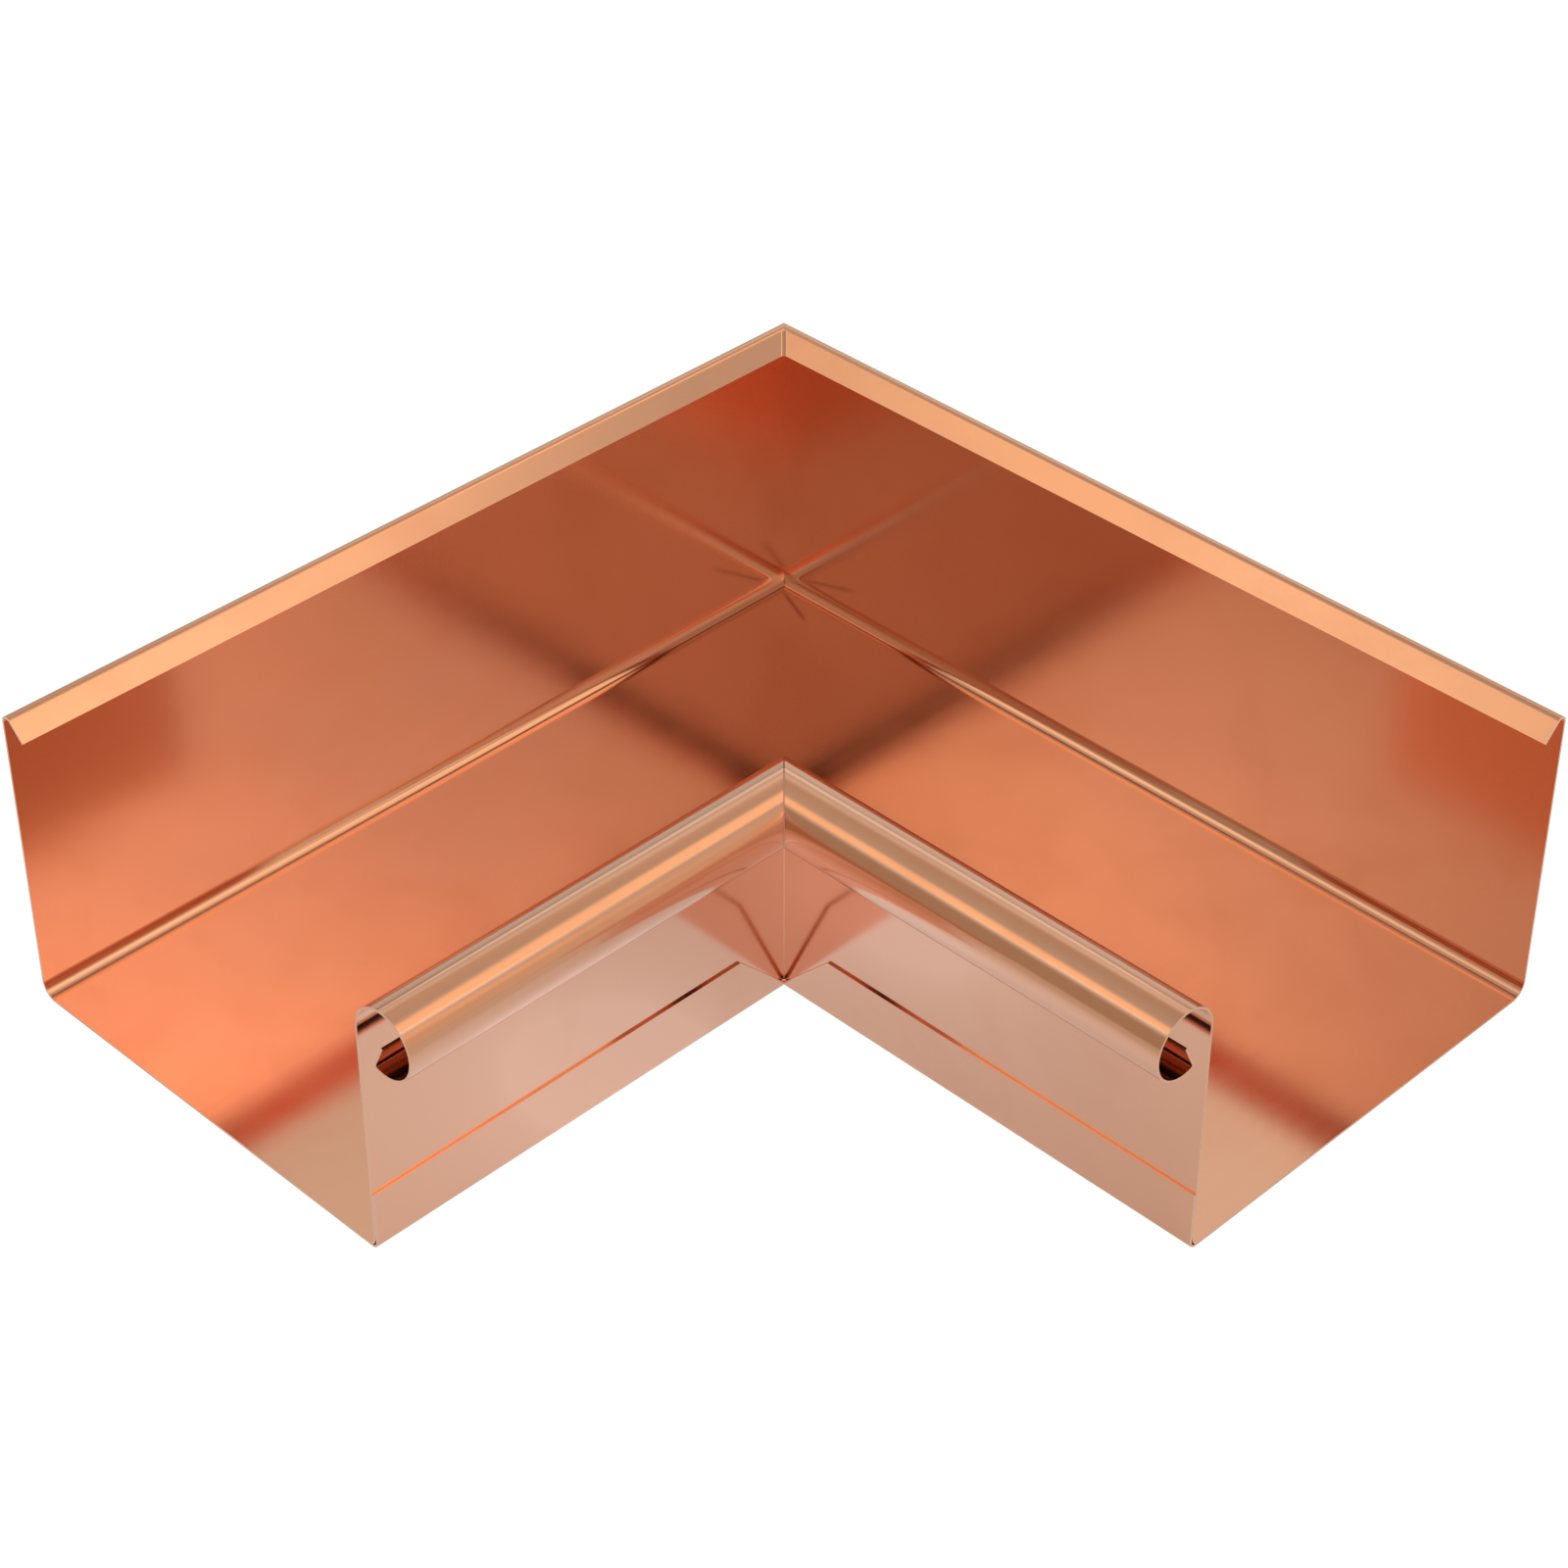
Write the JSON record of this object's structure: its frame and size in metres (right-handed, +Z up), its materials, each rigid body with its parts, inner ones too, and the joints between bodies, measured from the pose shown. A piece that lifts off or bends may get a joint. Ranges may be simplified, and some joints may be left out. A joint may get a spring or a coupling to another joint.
{
  "type": "box gutter internal corner",
  "caption": "Copper box gutter corner turning inward through a right angle, with a flat floor, tall lipped rear walls and low front walls ending in a rolled, mitred bead.",
  "frame": {"origin": "on the underside of the floor, where the centrelines of the two arms cross", "axes": "+Z up, +X and +Y along the two arms towards their open ends; the rear walls stand on the -X and -Y sides"},
  "size_m": [0.305, 0.305, 0.101],
  "materials": {
    "copper_tray": "mill-bright rolled copper sheet",
    "copper_front": "mill-bright rolled copper sheet"
  },
  "bodies": {
    "root": {"gutter_tray": "copper_tray", "beaded_front": "copper_front"}
  },
  "joints": []
}
